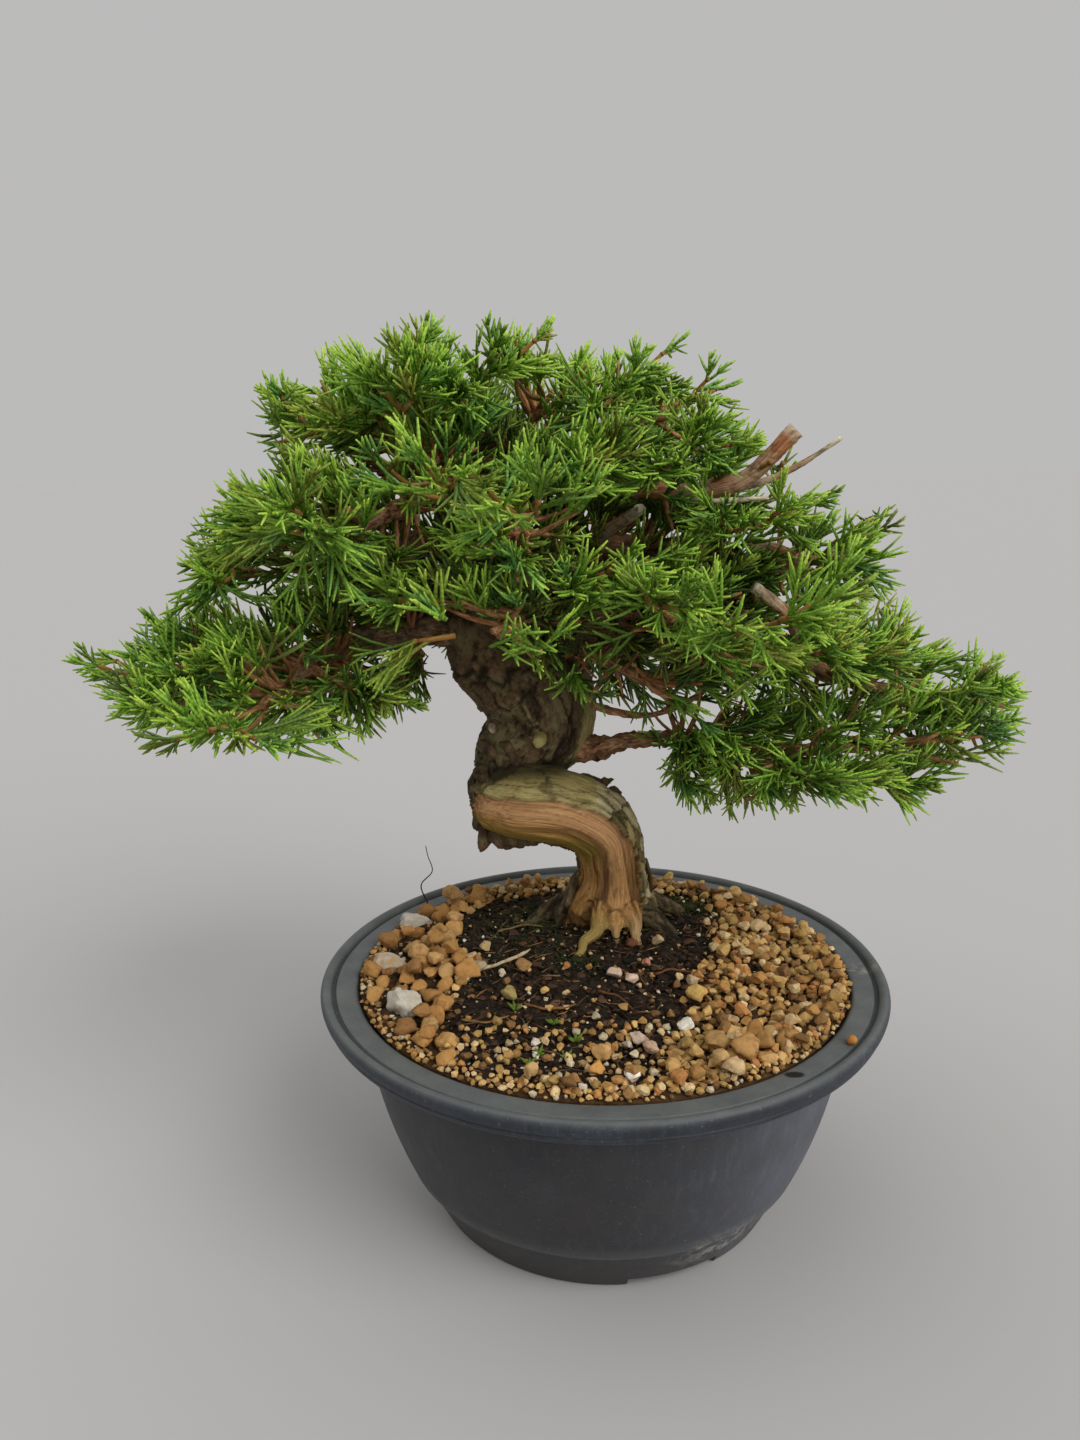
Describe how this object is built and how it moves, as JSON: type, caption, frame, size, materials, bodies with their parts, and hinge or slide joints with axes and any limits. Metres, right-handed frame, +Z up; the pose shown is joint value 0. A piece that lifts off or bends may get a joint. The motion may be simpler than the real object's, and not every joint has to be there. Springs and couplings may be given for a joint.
{
  "type": "juniper bonsai in a training pot",
  "caption": "Juniper bonsai with a curled trunk, stripped wood and open foliage pads, planted in a round low plastic training pot filled with granular soil.",
  "frame": {"origin": "on the surface that the pot stands on, under the middle of the whole plant's extent; the pot's axis is 18.5 mm to the right and 19 mm to the front of it", "axes": "+X to the right seen from the front, along the widest spread of the crown; +Y to the back, along the crown's depth; +Z up"},
  "size_m": [0.3488, 0.2472, 0.3229],
  "materials": {
    "pot_plastic": "slate-grey moulded plastic, satin with faint scuffs",
    "screen_plastic": "black plastic mesh",
    "soil": "ochre clay granules and dark humus, dull",
    "pale_stone": "pale dull pebble",
    "bark_and_deadwood": "flaking grey-brown bark and bare tan wood",
    "foliage": "living scale foliage, slightly waxy, lime at the tips"
  },
  "bodies": {
    "root": {"drain_screen": "screen_plastic", "pot": "pot_plastic", "soil": "soil", "spray_02": "foliage", "spray_03": "foliage", "spray_04": "foliage", "spray_05": "foliage", "spray_06": "foliage", "spray_07": "foliage", "spray_08": "foliage", "spray_09": "foliage", "spray_10": "foliage", "spray_11": "foliage", "spray_13": "foliage", "spray_14": "foliage", "spray_15": "foliage", "spray_16": "foliage", "spray_18": "foliage", "spray_19": "foliage", "spray_20": "foliage", "spray_21": "foliage", "spray_22": "foliage", "spray_23": "foliage", "spray_24": "foliage", "spray_25": "foliage", "spray_26": "foliage", "spray_27": "foliage", "spray_28": "foliage", "spray_29": "foliage", "spray_30": "foliage", "spray_31": "foliage", "spray_32": "foliage", "spray_33": "foliage", "spray_34": "foliage", "spray_35": "foliage", "spray_36": "foliage", "spray_37": "foliage", "spray_38": "foliage", "spray_39": "foliage", "spray_40": "foliage", "spray_41": "foliage", "spray_42": "foliage", "spray_43": "foliage", "spray_44": "foliage", "spray_45": "foliage", "spray_46": "foliage", "spray_47": "foliage", "spray_48": "foliage", "spray_49": "foliage", "spray_50": "foliage", "spray_51": "foliage", "stone_1": "pale_stone", "stone_2": "pale_stone", "stone_3": "pale_stone", "trunk": "bark_and_deadwood"}
  },
  "joints": []
}
